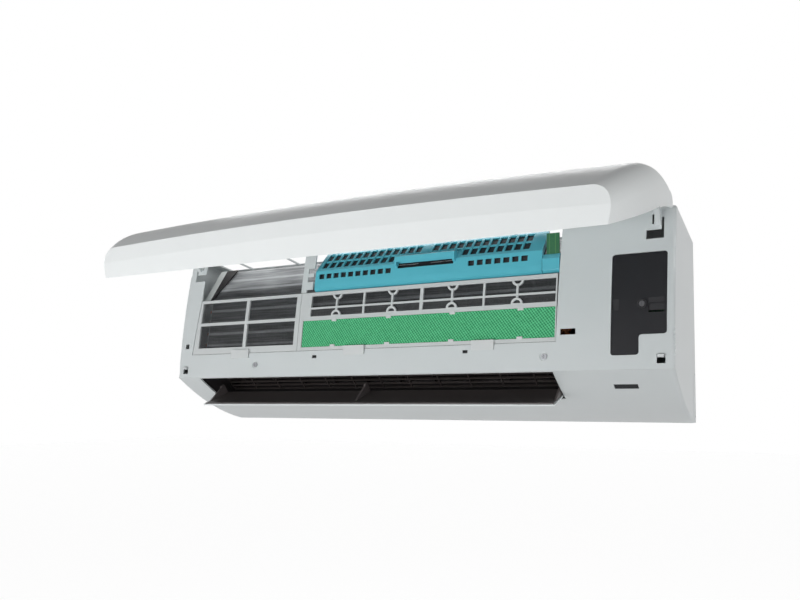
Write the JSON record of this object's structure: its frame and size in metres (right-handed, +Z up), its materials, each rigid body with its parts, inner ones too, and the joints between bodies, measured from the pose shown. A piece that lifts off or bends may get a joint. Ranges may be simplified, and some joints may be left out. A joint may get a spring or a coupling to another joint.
{
  "type": "mini split indoor unit",
  "caption": "Wall-hung indoor unit with a hinged front panel swung up, filter frames, air cleaner cassette, coil, cross-flow fan, louvres and outlet vane.",
  "frame": {"origin": "centre of the four wall screws, on the back of the mounting plate", "axes": "+X to the right seen from the room, +Y into the wall, +Z up"},
  "size_m": [0.8146, 0.3885, 0.3182],
  "materials": {
    "casing": "satin",
    "panel": "gloss",
    "chassis": "matt",
    "vane_white": "satin",
    "dark_plastic": "matt",
    "grey_plastic": "matt",
    "frame_plastic": "matt",
    "cassette_plastic": "matt",
    "filter_green": "woven",
    "teal_plastic": "satin",
    "board_green": "matt",
    "terminal_cream": "matt",
    "fins": "satin",
    "copper": "satin",
    "nut_brass": "satin",
    "zinc_steel": "brushed",
    "shaft_steel": "polished",
    "screw_steel": "satin",
    "rubber": "matt",
    "fan_plastic": "matt",
    "motor_shell": "satin",
    "lens": "gloss"
  },
  "bodies": {
    "unit": {"mounting_plate": "zinc_steel", "rear_chassis": "chassis", "front_casing": "casing", "casing_screws": "screw_steel", "panel_latches": "dark_plastic", "drain_pan": "dark_plastic", "drain_cap": "rubber", "evaporator_lower": "fins", "evaporator_upper": "fins", "evaporator_rear": "fins", "hairpin_tubes": "copper", "return_bends": "copper", "end_plate_left": "zinc_steel", "end_plate_right": "zinc_steel", "suction_pipe": "copper", "liquid_pipe": "copper", "flare_nuts": "nut_brass", "fan_bearing": "shaft_steel", "bearing_mount": "rubber", "fan_motor": "motor_shell", "motor_clamp": "zinc_steel", "motor_screws": "screw_steel", "outlet_guard": "dark_plastic", "louvre_rail": "dark_plastic", "vane_motor": "grey_plastic", "control_box": "grey_plastic", "control_cover": "grey_plastic", "cover_screw": "screw_steel", "circuit_board": "board_green", "terminal_block": "terminal_cream", "display_board": "board_green", "display_lens": "lens", "purifier_socket": "teal_plastic", "socket_board": "board_green"},
    "panel": {"front_panel": "panel"},
    "vane": {"vane_skin": "vane_white", "vane_liner": "dark_plastic"},
    "fan": {"fan_rotor": "fan_plastic", "fan_hub": "rubber", "fan_shaft": "shaft_steel", "motor_shaft": "shaft_steel"},
    "cassette": {"purifier_case": "cassette_plastic", "purifier_cover": "teal_plastic", "purifier_plates": "zinc_steel"},
    "left_filter": {"left_filter_frame": "frame_plastic"},
    "right_filter": {"right_filter_frame": "frame_plastic", "green_filter": "filter_green"},
    "link_left": {"link_bar_left": "dark_plastic"},
    "link_right": {"link_bar_right": "dark_plastic"},
    "louvre_01_blade": {"louvre_01": "dark_plastic"},
    "louvre_02_blade": {"louvre_02": "dark_plastic"},
    "louvre_03_blade": {"louvre_03": "dark_plastic"},
    "louvre_04_blade": {"louvre_04": "dark_plastic"},
    "louvre_05_blade": {"louvre_05": "dark_plastic"},
    "louvre_06_blade": {"louvre_06": "dark_plastic"},
    "louvre_07_blade": {"louvre_07": "dark_plastic"},
    "louvre_08_blade": {"louvre_08": "dark_plastic"},
    "louvre_09_blade": {"louvre_09": "dark_plastic"},
    "louvre_10_blade": {"louvre_10": "dark_plastic"}
  },
  "joints": [
    {"name": "panel_hinge", "type": "hinge", "parent": "unit", "child": "panel", "pos_m": [0, -0.18, 0.131], "axis": [-1, 0, 0], "range_deg": [-68.4, 6]},
    {"name": "vane_hinge", "type": "hinge", "parent": "unit", "child": "vane", "pos_m": [0, -0.1345, -0.094], "axis": [1, 0, 0], "range_deg": [-48.1, 6]},
    {"name": "fan_spin", "type": "hinge", "parent": "unit", "child": "fan", "pos_m": [0, -0.086, -0.005], "axis": [1, 0, 0], "continuous": true},
    {"name": "cassette_slide", "type": "slide", "parent": "unit", "child": "cassette", "axis": [0, -1, 0], "range_m": [0, 0.09]},
    {"name": "left_filter_slide", "type": "slide", "parent": "unit", "child": "left_filter", "axis": [0, -1, 0], "range_m": [0, 0.08]},
    {"name": "right_filter_slide", "type": "slide", "parent": "unit", "child": "right_filter", "axis": [0, -1, 0], "range_m": [0, 0.08]},
    {"name": "louvre_01_swing", "type": "hinge", "parent": "unit", "child": "louvre_01_blade", "pos_m": [-0.3275, -0.1065, -0.0655], "axis": [0, 0.7219, -0.6919], "range_deg": [-30, 30]},
    {"name": "louvre_02_swing", "type": "hinge", "parent": "unit", "child": "louvre_02_blade", "pos_m": [-0.2665, -0.1065, -0.0655], "axis": [0, 0.7219, -0.6919], "range_deg": [-30, 30]},
    {"name": "louvre_03_swing", "type": "hinge", "parent": "unit", "child": "louvre_03_blade", "pos_m": [-0.2055, -0.1065, -0.0655], "axis": [0, 0.7219, -0.6919], "range_deg": [-30, 30]},
    {"name": "louvre_04_swing", "type": "hinge", "parent": "unit", "child": "louvre_04_blade", "pos_m": [-0.1445, -0.1065, -0.0655], "axis": [0, 0.7219, -0.6919], "range_deg": [-30, 30]},
    {"name": "louvre_05_swing", "type": "hinge", "parent": "unit", "child": "louvre_05_blade", "pos_m": [-0.0835, -0.1065, -0.0655], "axis": [0, 0.7219, -0.6919], "range_deg": [-30, 30]},
    {"name": "louvre_06_swing", "type": "hinge", "parent": "unit", "child": "louvre_06_blade", "pos_m": [-0.0225, -0.1065, -0.0655], "axis": [0, 0.7219, -0.6919], "range_deg": [-30, 30]},
    {"name": "louvre_07_swing", "type": "hinge", "parent": "unit", "child": "louvre_07_blade", "pos_m": [0.0385, -0.1065, -0.0655], "axis": [0, 0.7219, -0.6919], "range_deg": [-30, 30]},
    {"name": "louvre_08_swing", "type": "hinge", "parent": "unit", "child": "louvre_08_blade", "pos_m": [0.0995, -0.1065, -0.0655], "axis": [0, 0.7219, -0.6919], "range_deg": [-30, 30]},
    {"name": "louvre_09_swing", "type": "hinge", "parent": "unit", "child": "louvre_09_blade", "pos_m": [0.1605, -0.1065, -0.0655], "axis": [0, 0.7219, -0.6919], "range_deg": [-30, 30]},
    {"name": "louvre_10_swing", "type": "hinge", "parent": "unit", "child": "louvre_10_blade", "pos_m": [0.2215, -0.1065, -0.0655], "axis": [0, 0.7219, -0.6919], "range_deg": [-30, 30]},
    {"name": "link_left_slide", "type": "slide", "parent": "unit", "child": "link_left", "axis": [1, 0, 0], "range_m": [-0.00419, 0.00419]},
    {"name": "link_right_slide", "type": "slide", "parent": "unit", "child": "link_right", "axis": [1, 0, 0], "range_m": [-0.00419, 0.00419]}
  ],
  "couplings": [
    {"joint": "louvre_01_swing", "follows": "link_left_slide", "rad_per_m": -125},
    {"joint": "louvre_02_swing", "follows": "link_left_slide", "rad_per_m": -125},
    {"joint": "louvre_03_swing", "follows": "link_left_slide", "rad_per_m": -125},
    {"joint": "louvre_04_swing", "follows": "link_left_slide", "rad_per_m": -125},
    {"joint": "louvre_05_swing", "follows": "link_left_slide", "rad_per_m": -125},
    {"joint": "louvre_06_swing", "follows": "link_left_slide", "rad_per_m": -125},
    {"joint": "louvre_07_swing", "follows": "link_left_slide", "rad_per_m": -125},
    {"joint": "louvre_08_swing", "follows": "link_left_slide", "rad_per_m": -125},
    {"joint": "louvre_09_swing", "follows": "link_left_slide", "rad_per_m": -125},
    {"joint": "louvre_10_swing", "follows": "link_left_slide", "rad_per_m": -125},
    {"joint": "link_right_slide", "follows": "link_left_slide", "ratio": 1}
  ]
}
